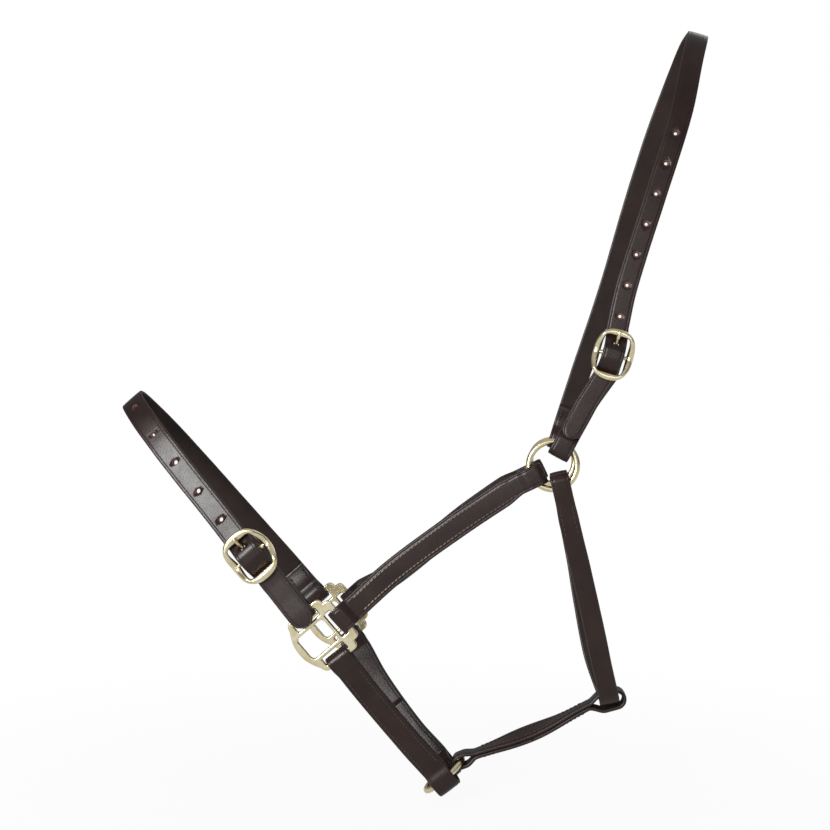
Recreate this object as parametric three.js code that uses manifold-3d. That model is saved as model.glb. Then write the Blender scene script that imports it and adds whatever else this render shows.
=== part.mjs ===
// Leather headcollar in the shape it takes on a head, as an assembly of separate straps and castings.
// Millimetres, +Z up. -X is towards the muzzle, -Y is the near (left) side, +Y the far side.
// The origin is on the inner face of the crown strap, where it lies over the poll.

import * as THREE from 'three';
import { mergeVertices } from 'three/addons/utils/BufferGeometryUtils.js';
import Module from 'manifold-3d';

const wasm = await Module();
wasm.setup();

// ---------------------------------------------------------------- driving dimensions

const LEATHER = 2.8; // thickness of one layer of strap leather
const PLY_GAP = 0.3; // space between two layers, and between leather and metal
const WIDE = 19; // width of the noseband, rear noseband and cheek straps, 3/4 inch
const NARROW = 16; // width of the headpiece, 5/8 inch
const THROAT_WIDTH = 15;
const THROAT_WAIST = 14; // where it folds round the cheek rings
const JOWL_WIDTH = 16;
const FOLD_REACH = 12; // from the middle of a bar to where the two layers of a folded strap meet

const RING = { radius: 17.5, bar: 2.25 }; // centre line and bar radius of the cheek rings
const NEAR_RING = new THREE.Vector3(-109.6, -56, -320.3);
const FAR_RING = new THREE.Vector3(-106.3, 56, -324.5);
const CHIN_RADIUS = 18.25; // centre line of the chin ring, of the same bar
const CHIN_RING = new THREE.Vector3(-191, 0, -564);
const CHIN_RING_TILT = 41; // degrees that the chin ring's plane rises towards the back

// The two flat castings: where their centres lie, and how far their outer bars are from it.
const SQUARE = { x: -281, y: 46, z: -449, thickness: 4.4, bar: 4.4, reach: 21.4, cheekReach: 19.8 };
const NOSE_TILT = 41; // degrees that the nosebands' width direction rises towards the back

// What the two buckles share: the height of the frame's section, the radius of its centre bar, and
// how far its two ends rise above that bar. Then each frame's half length outside and inside, the
// width of its opening, and how wide its side bars are.
const BUCKLE = { height: 3.5, pin: 1.75, rise: 6.6 };
const HEAD_FRAME = { halfLength: 19, endOpening: 13.8, opening: 19.2, sideBar: 5.4 };
const NOSE_FRAME = { halfLength: 21, endOpening: 14.4, opening: 23.4, sideBar: 6 };
const HOLE = 1.9; // radius of a punched strap hole
const TONGUE = 1.4; // radius of a buckle tongue

const Y_AXIS = new THREE.Vector3(0, 1, 0);
const NEAR = new THREE.Vector3(0, -1, 0);
const FAR = new THREE.Vector3(0, 1, 0);
const RING_AXIS = FAR_RING.clone().sub(NEAR_RING).normalize(); // both cheek rings turn about it

const degrees = THREE.MathUtils.degToRad;
const vec = (x, y, z) => new THREE.Vector3(x, y, z);
const across = (angle) => vec(Math.cos(degrees(angle)), 0, Math.sin(degrees(angle)));

// In the side view the nosebands run along NOSE_RUN, and their width lies along NOSE_WIDTH.
const NOSE_WIDTH = across(NOSE_TILT);
const NOSE_RUN = across(NOSE_TILT - 90);

// ---------------------------------------------------------------- materials

const MATERIALS = {
  leather: { color: 0x3a2b29, roughness: 0.5, metalness: 0 },
  brass: { color: 0xd8bd72, roughness: 0.22, metalness: 1 },
};

const headcollar = new THREE.Group();

function addPart(name, geometry, material) {
  const mesh = new THREE.Mesh(geometry, new THREE.MeshStandardMaterial(MATERIALS[material]));
  mesh.name = name;
  headcollar.add(mesh);
}

// ---------------------------------------------------------------- geometry helpers

// A local frame at a bar: e points along the strap away from the bar, n out of the strap's face.
function frameAt(origin, e, n) {
  const run = e.clone().normalize();
  const face = n.clone().addScaledVector(run, -n.dot(run)).normalize();
  return { origin, e: run, n: face, w: vec(0, 0, 0).crossVectors(face, run) };
}

function place(frame, e, n, w = 0) {
  return frame.origin.clone()
    .addScaledVector(frame.e, e)
    .addScaledVector(frame.n, n)
    .addScaledVector(frame.w, w);
}

function signedVolume(points, faces) {
  let volume = 0;
  for (let i = 0; i < faces.length; i += 3) {
    const [a, b, c] = [points[faces[i]], points[faces[i + 1]], points[faces[i + 2]]];
    volume += a.dot(vec(0, 0, 0).crossVectors(b, c)) / 6;
  }
  return volume;
}

// A closed body through a run of section rings that all list their points the same way round.
function loft(rings, closed = false) {
  const size = rings[0].length;
  const points = rings.flat();
  const faces = [];
  const spans = closed ? rings.length : rings.length - 1;
  for (let i = 0; i < spans; i++) {
    const a = i * size;
    const b = ((i + 1) % rings.length) * size;
    for (let j = 0; j < size; j++) {
      const k = (j + 1) % size;
      faces.push(a + j, a + k, b + j, a + k, b + k, b + j);
    }
  }
  if (!closed) {
    const last = (rings.length - 1) * size;
    for (let j = 1; j < size - 1; j++) {
      faces.push(0, j + 1, j, last, last + j, last + j + 1);
    }
  }
  if (signedVolume(points, faces) < 0) faces.reverse();
  const geometry = new THREE.BufferGeometry();
  const positions = points.flatMap((p) => p.toArray());
  geometry.setAttribute('position', new THREE.Float32BufferAttribute(positions, 3));
  geometry.setIndex(faces);
  geometry.computeVertexNormals();
  return geometry;
}

// The width direction of a strap that lies flat in one plane, or turns evenly between two frames.
const always = (direction) => () => direction;
function between(first, second) {
  const span = second.origin.clone().sub(first.origin);
  const last = second.w.clone().multiplyScalar(Math.sign(second.w.dot(first.w)));
  return (point) => {
    const t = point.clone().sub(first.origin).dot(span) / span.lengthSq();
    return first.w.clone().lerp(last, THREE.MathUtils.clamp(t, 0, 1));
  };
}

function tangentAt(points, i) {
  const ahead = points[Math.min(i + 1, points.length - 1)].clone().sub(points[i]).normalize();
  const behind = points[i].clone().sub(points[Math.max(i - 1, 0)]).normalize();
  return ahead.add(behind).normalize();
}

// How wide the strap is at a distance from its pointed end: full width, then a rounded tip.
function tipWidth(distance, width) {
  const reach = width * 0.55;
  const inside = Math.min(distance / reach, 1);
  return width * Math.max(Math.sqrt(1 - (1 - inside) ** 2), 0.12);
}

// A width that a strap keeps, but for a narrower stretch where it folds round a ring.
function narrowedAt(origin, width, waist) {
  return (point) => {
    const away = THREE.MathUtils.smoothstep(point.distanceTo(origin), 11, 26);
    return waist + (width - waist) * away;
  };
}

// A strap of rectangular section along a run of points, its width as near to widthAt as it can lie.
// size is its width, or a function that gives the width at a point.
function strap(points, widthAt, size, { tip = false } = {}) {
  const end = points[points.length - 1];
  const rings = points.map((point, i) => {
    const run = tangentAt(points, i);
    const wanted = widthAt(point);
    const side = wanted.clone().addScaledVector(run, -wanted.dot(run)).normalize();
    const face = vec(0, 0, 0).crossVectors(run, side);
    const width = typeof size === 'function' ? size(point) : size;
    const half = (tip ? tipWidth(point.distanceTo(end), width) : width) / 2;
    return [[1, 1], [-1, 1], [-1, -1], [1, -1]].map(([s, f]) => point.clone()
      .addScaledVector(side, s * half)
      .addScaledVector(face, f * LEATHER / 2));
  });
  return loft(rings);
}

// A smooth run through a few places, without its first and last point.
function smoothRun(places, steps) {
  return new THREE.CatmullRomCurve3(places, false, 'centripetal').getPoints(steps).slice(1, -1);
}

// The middle line of a strap folded round a bar, from one layer to the other.
// The bar sits at the frame's origin. sag is how far a curved bar falls back along the strap
// within its width, bow how far it leaves the strap's face, and sink how far below the bar
// the strap's middle plane lies where the two layers have met, at reach.
const PLY = (LEATHER + PLY_GAP) / 2;
function foldRound(frame, bar, { sag = 0, bow = 0, reach = FOLD_REACH, sink = 0 } = {}) {
  const radius = bar + PLY_GAP + LEATHER / 2 + bow / 2;
  const steps = 5;
  const neck = [...Array(steps + 1).keys()].map((i) => {
    const t = i / steps;
    return [reach + (bar - reach) * t, PLY + (radius - PLY) * THREE.MathUtils.smoothstep(t, 0, 1)];
  });
  const turns = 8;
  const fold = [...Array(turns + 1).keys()].map((i) => {
    const angle = Math.PI * i / turns;
    return [-sag - radius * Math.sin(angle), radius * Math.cos(angle)];
  });
  const line = dropRepeats([...neck, ...fold, ...neck.map(([e, n]) => [e, -n]).reverse()]);
  return line.map(([e, n]) => {
    const t = THREE.MathUtils.smoothstep(e, bar, reach);
    return place(frame, e, n - bow / 2 * (1 - t) - sink * t);
  });
}

function dropRepeats(line) {
  return line.filter((p, i) => i === 0 || Math.hypot(p[0] - line[i - 1][0], p[1] - line[i - 1][1]) > 0.2);
}

// The end of a strap, turned back and sewn under the first points of the strap's own run.
function turnedUnder(run, widthAt, inward, count) {
  return run.slice(0, count).map((point, i) => {
    const face = vec(0, 0, 0).crossVectors(tangentAt(run, i), widthAt(point)).normalize();
    return point.clone().addScaledVector(face, 2 * PLY * Math.sign(face.dot(inward)));
  }).reverse();
}

// A strap of two layers with a fold round a bar at each end. Its ends butt on the inner layer.
// places are points of its middle plane, and face its outward direction there.
function doubledStrap(first, second, places, face, width) {
  const foldEnd = ({ frame, reach = FOLD_REACH, sink = 0 }, n) => place(frame, reach, n - sink);
  const layer = (n) => [foldEnd(first, n), ...places.map((p) => p.clone().addScaledVector(face, n)),
    foldEnd(second, n)];
  const inner = smoothRun(layer(-PLY).reverse(), 16);
  const butt = Math.floor(inner.length / 2);
  const endNear = (neighbour) => inner[butt].clone()
    .addScaledVector(neighbour.clone().sub(inner[butt]).normalize(), PLY_GAP);
  const points = [
    endNear(inner[butt + 1]),
    ...inner.slice(butt + 1),
    ...foldRound(first.frame, first.bar, first).reverse(),
    ...smoothRun(layer(PLY), 16),
    ...foldRound(second.frame, second.bar, second),
    ...inner.slice(0, butt),
    endNear(inner[butt - 1]),
  ];
  return strap(points, between(first.frame, second.frame), width);
}

// ---------------------------------------------------------------- booleans

function toSolid(geometry) {
  const bare = geometry.clone();
  bare.deleteAttribute('normal');
  if (bare.getAttribute('uv')) bare.deleteAttribute('uv');
  const merged = mergeVertices(bare, 1e-4);
  return new wasm.Manifold(new wasm.Mesh({
    numProp: 3,
    vertProperties: new Float32Array(merged.getAttribute('position').array),
    triVerts: new Uint32Array(merged.index.array),
  }));
}

function toGeometry(solid) {
  const mesh = solid.getMesh();
  const geometry = new THREE.BufferGeometry();
  const positions = new Float32Array(mesh.vertProperties);
  geometry.setAttribute('position', new THREE.BufferAttribute(positions, 3));
  geometry.setIndex(new THREE.BufferAttribute(new Uint32Array(mesh.triVerts), 1));
  geometry.computeVertexNormals();
  return geometry;
}

function cut(geometry, tools) {
  return toGeometry(tools.reduce((solid, tool) => solid.subtract(toSolid(tool)), toSolid(geometry)));
}

function join(geometries) {
  return toGeometry(geometries.map(toSolid).reduce((whole, solid) => whole.add(solid)));
}

// A round rod between two points.
function rod(from, to, radius, sides = 10) {
  const geometry = new THREE.CylinderGeometry(radius, radius, from.distanceTo(to), sides);
  const turn = new THREE.Quaternion().setFromUnitVectors(Y_AXIS, to.clone().sub(from).normalize());
  geometry.applyQuaternion(turn);
  const middle = from.clone().add(to).multiplyScalar(0.5);
  return geometry.translate(middle.x, middle.y, middle.z);
}

// Rods that punch a strap at distances along its run, square to its face.
function punches(points, widthDir, distances) {
  const tools = [];
  let travelled = 0;
  for (let i = 1; i < points.length; i++) {
    const step = points[i].distanceTo(points[i - 1]);
    for (const distance of distances) {
      if (distance < travelled || distance >= travelled + step) continue;
      const centre = points[i - 1].clone().lerp(points[i], (distance - travelled) / step);
      const run = points[i].clone().sub(points[i - 1]).normalize();
      const face = vec(0, 0, 0).crossVectors(run, widthDir).normalize();
      tools.push(rod(
        centre.clone().addScaledVector(face, -LEATHER),
        centre.clone().addScaledVector(face, LEATHER),
        HOLE,
      ));
    }
    travelled += step;
  }
  return tools;
}

// ---------------------------------------------------------------- rings

function ringGeometry(centre, axis, radius) {
  const geometry = new THREE.TorusGeometry(radius, RING.bar, 10, 36);
  geometry.applyQuaternion(new THREE.Quaternion().setFromUnitVectors(vec(0, 0, 1), axis));
  return geometry.translate(centre.x, centre.y, centre.z);
}

// The bar of a cheek ring, in a direction from its centre, as a frame for a strap folded round it.
// The strap leaves in another direction, tilted towards the middle of the head.
function ringBar(centre, direction, face, { leaving = direction, tilt = 0 } = {}) {
  const out = direction.clone().projectOnPlane(RING_AXIS).normalize();
  const run = leaving.clone().projectOnPlane(RING_AXIS).normalize();
  const hinge = vec(0, 0, 0).crossVectors(face, run).normalize();
  const origin = centre.clone().addScaledVector(out, RING.radius);
  return frameAt(origin, run.applyAxisAngle(hinge, degrees(tilt)), face);
}

// How far a ring's inner edge falls away within a strap's width.
function sagWithin(width, radius = RING.radius) {
  const inner = radius - RING.bar;
  return inner - Math.sqrt(inner ** 2 - (width / 2) ** 2);
}

// ---------------------------------------------------------------- squares

// Half outline of the casting: three straight sides that carry straps and a curved free side.
function squareOutline() {
  const { reach, cheekReach, bar } = SQUARE;
  const edge = reach + bar / 2;
  const top = cheekReach + bar / 2;
  const shape = new THREE.Shape();
  shape.moveTo(-14, top);
  shape.lineTo(14, top);
  shape.quadraticCurveTo(18.5, top, 18, 16.5);
  shape.quadraticCurveTo(edge, 16.5, edge, 12);
  shape.lineTo(edge, -10);
  shape.quadraticCurveTo(edge, -15.5, 17.5, -16.5);
  shape.quadraticCurveTo(9, -top, 0, -top);
  shape.quadraticCurveTo(-9, -top, -17.5, -16.5);
  shape.quadraticCurveTo(-edge, -15.5, -edge, -10);
  shape.lineTo(-edge, 12);
  shape.quadraticCurveTo(-edge, 16.5, -18, 16.5);
  shape.quadraticCurveTo(-18.5, top, -14, top);
  return shape;
}

function roundedSlot(x0, x1, y0, y1, radius) {
  const path = new THREE.Path();
  path.moveTo(x0 + radius, y0);
  path.lineTo(x1 - radius, y0);
  path.quadraticCurveTo(x1, y0, x1, y0 + radius);
  path.lineTo(x1, y1 - radius);
  path.quadraticCurveTo(x1, y1, x1 - radius, y1);
  path.lineTo(x0 + radius, y1);
  path.quadraticCurveTo(x0, y1, x0, y1 - radius);
  path.lineTo(x0, y0 + radius);
  path.quadraticCurveTo(x0, y0, x0 + radius, y0);
  return path;
}

function squareGeometry(centre) {
  const { reach, cheekReach, bar, thickness } = SQUARE;
  const slot = 6.2;
  const sideSlot = reach - bar / 2;
  const cheekSlot = cheekReach - bar / 2;
  const round = 1.2;
  const shape = squareOutline();
  shape.holes.push(
    roundedSlot(-sideSlot, -sideSlot + slot, -11.5, 9.5, round),
    roundedSlot(sideSlot - slot, sideSlot, -11.5, 9.5, round),
    roundedSlot(-10.6, 10.6, cheekSlot - slot, cheekSlot, round),
    roundedSlot(-9.8, 9.8, -16.6, cheekSlot - slot - 2.6, 3.5),
  );
  const bevel = 0.9;
  const geometry = new THREE.ExtrudeGeometry(shape, {
    depth: thickness - 2 * bevel,
    bevelThickness: bevel,
    bevelSize: bevel,
    bevelOffset: -bevel,
    bevelSegments: 1,
    curveSegments: 4,
  });
  geometry.translate(0, 0, -thickness / 2 + bevel);
  const outward = vec(0, 0, 0).crossVectors(NOSE_RUN, NOSE_WIDTH);
  geometry.applyMatrix4(new THREE.Matrix4().makeBasis(NOSE_RUN, NOSE_WIDTH, outward));
  return geometry.translate(centre.x, centre.y, centre.z);
}

const squareCentre = (side) => vec(SQUARE.x, side * SQUARE.y, SQUARE.z);

// A bar of a square, at a place in its own plane, as a frame for a strap that folds round it.
function squareBar(side, run, width, leaving) {
  const origin = squareCentre(side)
    .addScaledVector(NOSE_RUN, run)
    .addScaledVector(NOSE_WIDTH, width);
  return frameAt(origin, leaving, side < 0 ? NEAR : FAR);
}

const SQUARE_BAR = SQUARE.thickness / 2 + 0.8; // clears the bar's bevelled corners

// ---------------------------------------------------------------- buckles

// A dished frame with a nearly rectangular opening, fuller sides and a straight centre bar.
function buckleFrameGeometry(frame, { halfLength, endOpening, opening, sideBar }) {
  const superellipse = (angle, a, b, power) => {
    const c = Math.cos(angle);
    const s = Math.sin(angle);
    const scale = (Math.abs(c) ** power + Math.abs(s) ** power) ** (-1 / power);
    return [a * c * scale, b * s * scale];
  };
  const steps = 40;
  const sides = 6;
  const rings = [...Array(steps).keys()].map((i) => {
    const angle = 2 * Math.PI * i / steps;
    const inner = superellipse(angle, endOpening, opening / 2, 8);
    const outer = superellipse(angle, halfLength, opening / 2 + sideBar, 2.4);
    const middle = [(inner[0] + outer[0]) / 2, (inner[1] + outer[1]) / 2];
    const lift = BUCKLE.rise * THREE.MathUtils.smoothstep(Math.abs(middle[0]), 2, 12);
    return [...Array(sides).keys()].map((k) => {
      const turn = 2 * Math.PI * (k + 0.5) / sides;
      const out = Math.cos(turn) / 2 / Math.cos(Math.PI / sides);
      const e = middle[0] + (outer[0] - inner[0]) * out;
      const w = middle[1] + (outer[1] - inner[1]) * out;
      const n = lift + BUCKLE.height / 2 * Math.sin(turn) / Math.cos(Math.PI / sides);
      return place(frame, e, n, w);
    });
  });
  const reach = opening / 2 + 1;
  const bar = rod(place(frame, 0, 0, -reach), place(frame, 0, 0, reach), BUCKLE.pin);
  return join([loft(rings, true), bar]);
}

// The tongue's middle line, from the centre bar to its tip over the frame's far end.
function tongueRun(frame) {
  const line = [[1.4, 2.2], [6, 4.2], [9, 5.8], [11, 7.5], [13, 9.5], [15.2, 10.4], [18.4, 10.5]];
  return new THREE.CatmullRomCurve3(line.map(([e, n]) => place(frame, e, n)));
}

function roundBar(curve, radius, steps) {
  const section = new THREE.Shape().absarc(0, 0, radius, 0, 2 * Math.PI);
  return new THREE.ExtrudeGeometry(section, { extrudePath: curve, steps, curveSegments: 4 });
}

function tongueGeometry(frame) {
  const half = 1.7;
  const eye = rod(place(frame, 0, 0, -half), place(frame, 0, 0, half), BUCKLE.pin + 1.4, 16);
  const bore = rod(place(frame, 0, 0, -half - 1), place(frame, 0, 0, half + 1), BUCKLE.pin + 0.3, 16);
  const prong = roundBar(tongueRun(frame), TONGUE, 10);
  return cut(join([eye, prong]), [bore]);
}

// The hole that the tongue passes through, opened along the tongue.
const tonguePunch = (frame) => roundBar(tongueRun(frame), TONGUE + 1.1, 10);

// The slot in a chape's fold that the tongue swings in.
function tongueSlot(frame) {
  const geometry = new THREE.BoxGeometry(15, 16, 5.8).translate(0.5, 0, 0);
  const sideways = vec(0, 0, 0).crossVectors(frame.e, frame.n);
  geometry.applyMatrix4(new THREE.Matrix4().makeBasis(frame.e, frame.n, sideways));
  return geometry.translate(frame.origin.x, frame.origin.y, frame.origin.z);
}

// Heights above the centre bar of a billet's middle line: under the frame's ends, over the bar.
const BILLET_UNDER = 1.6;
const BILLET_OVER = BUCKLE.pin + 2 * PLY_GAP + LEATHER * 1.5 + 0.5;
const CHAPE_SINK = 3 * PLY - BILLET_UNDER; // of a chape's middle plane below the centre bar

const BILLET_REACH = 20; // of the buckle's hold on a billet's path, either side of the centre bar

// entry and leaving are how far the strap lies to one side where it passes under the two ends.
function billetOverBuckle(frame, { entry = 0, leaving = 0 } = {}) {
  const bump = (s) => BILLET_OVER
    + (BILLET_UNDER - BILLET_OVER) * THREE.MathUtils.smoothstep(Math.abs(s), 2.5, 16);
  const half = [16, 13, 10.5, 8, 5.5, 3];
  const stations = [BILLET_REACH, ...half, 0, ...half.map((s) => -s).reverse(), -BILLET_REACH];
  const drift = (s) => (s > 0 ? entry : leaving) * (s / BILLET_REACH) ** 2;
  return stations.map((s) => place(frame, s, bump(s), drift(s)));
}

// ---------------------------------------------------------------- headpiece

// Sideways, from the buckle's own line to the strap's above it and to the chape's below it.
const HEAD_DRIFT = { entry: 2.4, leaving: 3 };
const chapeRing = ringBar(NEAR_RING, across(61.8), RING_AXIS.clone().negate());
const headBuckleRun = across(74).projectOnPlane(RING_AXIS);
const HEAD_BUCKLE = frameAt(place(chapeRing, 74.2, CHAPE_SINK), headBuckleRun, chapeRing.n);
const farHeadRing = ringBar(FAR_RING, across(73), RING_AXIS);

function headpieceRun() {
  const fold = foldRound(farHeadRing, RING.bar, { sag: sagWithin(NARROW) }).reverse();
  const farSide = [
    place(farHeadRing, FOLD_REACH, PLY), vec(-85, 57.5, -257), vec(-61, 56.5, -184),
    vec(-42, 54, -117),
    vec(-26, 48, -66), vec(-11, 36, -24), vec(-3, 19, -3),
    vec(0, 0, LEATHER / 2),
    vec(-2, -19, -3), vec(-8, -36, -24), vec(-17, -48, -64), vec(-36, -54.5, -124),
    vec(-57.2, -58, -192), place(HEAD_BUCKLE, BILLET_REACH, BILLET_UNDER, HEAD_DRIFT.entry),
  ];
  const overChape = [
    place(HEAD_BUCKLE, -BILLET_REACH, BILLET_UNDER, HEAD_DRIFT.leaving), place(chapeRing, 34, 3 * PLY),
    place(chapeRing, 24, 3 * PLY), place(chapeRing, 17, 3 * PLY + 0.3),
    place(chapeRing, 11, 3 * PLY + 1.2), place(chapeRing, 5, 3 * PLY + 2.6),
  ];
  const run = smoothRun(farSide, 54);
  const tail = turnedUnder(run, always(farHeadRing.w), NEAR, 2);
  const before = [...tail, ...fold, ...run];
  const over = billetOverBuckle(HEAD_BUCKLE, HEAD_DRIFT);
  return { before, points: [...before, ...over, ...tipRun(overChape)] };
}

// The last stretch of a billet, with close stations where its tip is rounded off.
function tipRun(places) {
  const run = smoothRun(places, 12);
  const end = places[places.length - 1];
  const before = run[run.length - 1];
  const close = [0.25, 0.5, 0.7, 0.85, 0.95].map((t) => before.clone().lerp(end, t));
  return [...run, ...close, end];
}

function runLength(points) {
  return points.slice(1).reduce((sum, p, i) => sum + p.distanceTo(points[i]), 0);
}

const evenHoles = (count, first, pitch) => [...Array(count).keys()].map((k) => first + pitch * k);

// Punched holes at distances up the strap from the buckle's centre bar, and the tongue's own.
function billetGeometry({ before, points }, widthDir, width, buckle, holes) {
  const centreBar = runLength(points.slice(0, before.length + 1)) + BILLET_REACH;
  const distances = holes.map((s) => centreBar - s);
  const blank = strap(points, always(widthDir), width, { tip: true });
  return cut(blank, [...punches(points, widthDir, distances), tonguePunch(buckle)]);
}

// A chape folds round the buckle's centre bar above its own middle plane, and sinks to it.
function chapeGeometry(buckle, fold, places, width) {
  const loop = {
    frame: frameAt(buckle.origin, buckle.e.clone().negate(), buckle.n),
    bar: BUCKLE.pin,
    reach: 15,
    sink: CHAPE_SINK,
  };
  return cut(doubledStrap(loop, fold, places, fold.frame.n, width), [tongueSlot(buckle)]);
}

addPart('headpiece_strap', billetGeometry(
  headpieceRun(),
  farHeadRing.w,
  NARROW,
  HEAD_BUCKLE,
  evenHoles(7, 28.2, 23.25),
), 'leather');

addPart('headpiece_chape', chapeGeometry(
  HEAD_BUCKLE,
  { frame: chapeRing, bar: RING.bar, sag: sagWithin(NARROW) + 3.5 },
  [place(chapeRing, 34, 0), place(chapeRing, 24, 0)],
  NARROW,
), 'leather');

addPart('headpiece_buckle_frame', buckleFrameGeometry(HEAD_BUCKLE, HEAD_FRAME), 'brass');
addPart('headpiece_buckle_tongue', tongueGeometry(HEAD_BUCKLE), 'brass');

addPart('near_cheek_ring', ringGeometry(NEAR_RING, RING_AXIS, RING.radius), 'brass');
addPart('far_cheek_ring', ringGeometry(FAR_RING, RING_AXIS, RING.radius), 'brass');

// ---------------------------------------------------------------- cheeks and squares

const CHEEK_AT_RING = across(211);
const CHEEK_FROM_RING = across(206);
const CHEEK_FROM_SQUARE = across(43);

function cheekGeometry(side, ring, places) {
  const face = side < 0 ? NEAR : FAR;
  const ringFace = RING_AXIS.clone().multiplyScalar(side);
  const atRing = ringBar(ring, CHEEK_AT_RING, ringFace, { leaving: CHEEK_FROM_RING });
  const atSquare = squareBar(side, 0.2, SQUARE.cheekReach, CHEEK_FROM_SQUARE);
  return doubledStrap(
    { frame: atRing, bar: RING.bar, sag: sagWithin(NARROW) + 2 },
    { frame: atSquare, bar: SQUARE_BAR },
    places.map(([x, z]) => vec(x, THREE.MathUtils.mapLinear(x, atSquare.origin.x, atRing.origin.x,
      atSquare.origin.y, atRing.origin.y), z)),
    face,
    narrowedAt(atRing.origin, WIDE, NARROW),
  );
}

const nearCheek = [[-150, -344.5], [-183, -367], [-228, -401]];
const farCheek = [[-143.4, -345.4], [-175, -367.7], [-236, -416.5]];
addPart('near_cheek_strap', cheekGeometry(-1, NEAR_RING, nearCheek), 'leather');
addPart('far_cheek_strap', cheekGeometry(1, FAR_RING, farCheek), 'leather');

addPart('near_square', squareGeometry(squareCentre(-1)), 'brass');
addPart('far_square', squareGeometry(squareCentre(1)), 'brass');

// ---------------------------------------------------------------- noseband

const NOSE_REACH = 232; // from the squares to the front of the nose
const NOSE_BOW = 1.2;

// A place on the noseband's middle line, at a distance along it from the squares.
// The band bows a little upwards as it goes out to the nose, and rise is added to that.
const noseAt = (run, y, rise = 0) => vec(SQUARE.x, y, SQUARE.z)
  .addScaledVector(NOSE_RUN, run)
  .addScaledVector(NOSE_WIDTH, rise - 1 + NOSE_BOW * (run / NOSE_REACH) ** 2);

const NOSE_BUCKLE = frameAt(noseAt(-80, -SQUARE.y - CHAPE_SINK, 0.9), NOSE_RUN.clone().negate(), NEAR);
const nearFrontBar = squareBar(-1, -SQUARE.reach, -1, NOSE_RUN.clone().negate());
const farFrontBar = squareBar(1, -SQUARE.reach, -1, NOSE_RUN.clone().negate());

function nosebandRun() {
  const fold = foldRound(farFrontBar, SQUARE_BAR).reverse();
  const overNose = [
    place(farFrontBar, FOLD_REACH, PLY), noseAt(-70, 45), noseAt(-118, 39), noseAt(-160, 34),
    noseAt(-194, 27), noseAt(-218, 17), noseAt(-230, 7),
    noseAt(-NOSE_REACH, 0),
    noseAt(-230, -7), noseAt(-218, -17), noseAt(-194, -27), noseAt(-160, -35), noseAt(-122, -44, 0.6),
    place(NOSE_BUCKLE, BILLET_REACH, BILLET_UNDER),
  ];
  const overChape = [
    place(NOSE_BUCKLE, -BILLET_REACH, BILLET_UNDER), place(nearFrontBar, 32, 3 * PLY, -0.8),
    place(nearFrontBar, 24, 3 * PLY, -0.6), place(nearFrontBar, 17, 3 * PLY + 0.3, -0.4),
    place(nearFrontBar, 10, 3 * PLY + 2, -0.2), place(nearFrontBar, 2, 3 * PLY + 3.5),
    place(nearFrontBar, -9, 3 * PLY + 3.6),
  ];
  const run = smoothRun(overNose, 54);
  const before = [...turnedUnder(run, always(NOSE_WIDTH), NEAR, 2), ...fold, ...run];
  return { before, points: [...before, ...billetOverBuckle(NOSE_BUCKLE), ...tipRun(overChape)] };
}

addPart('noseband_strap', billetGeometry(
  nosebandRun(),
  NOSE_WIDTH,
  WIDE,
  NOSE_BUCKLE,
  evenHoles(5, 35.7, 28.6),
), 'leather');

addPart('noseband_chape', chapeGeometry(
  NOSE_BUCKLE,
  { frame: nearFrontBar, bar: SQUARE_BAR },
  [place(nearFrontBar, 34, 0), place(nearFrontBar, 24, 0)],
  WIDE,
), 'leather');

addPart('noseband_buckle_frame', buckleFrameGeometry(NOSE_BUCKLE, NOSE_FRAME), 'brass');
addPart('noseband_buckle_tongue', tongueGeometry(NOSE_BUCKLE), 'brass');

// ---------------------------------------------------------------- rear nosebands and chin ring

const CHIN_PLANE = across(CHIN_RING_TILT);

// belly is how far the middle of the strap hangs forward of the straight line between its ends.
function rearNosebandGeometry(side, belly) {
  const face = side < 0 ? NEAR : FAR;
  const chinBar = CHIN_RING.clone().addScaledVector(Y_AXIS, side * CHIN_RADIUS);
  const squareEnd = squareBar(side, SQUARE.reach, -1, NOSE_RUN).origin;
  const rise = squareEnd.clone().sub(chinBar);
  const chin = frameAt(chinBar, rise, face);
  const square = frameAt(squareEnd, rise.clone().negate(), face);
  return doubledStrap(
    { frame: square, bar: SQUARE_BAR },
    { frame: chin, bar: RING.bar + 0.5, bow: sagWithin(WIDE, CHIN_RADIUS), sag: 2.5 },
    [place(square, 40, 1.5), place(chin, 40, 1.5)].map((p) => p.addScaledVector(NOSE_WIDTH, -belly)),
    face,
    WIDE,
  );
}

addPart('near_rear_noseband', rearNosebandGeometry(-1, 0.5), 'leather');
addPart('far_rear_noseband', rearNosebandGeometry(1, 3.5), 'leather');
addPart('chin_ring', ringGeometry(CHIN_RING, across(CHIN_RING_TILT - 90), CHIN_RADIUS), 'brass');

// ---------------------------------------------------------------- throat strap

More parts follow.
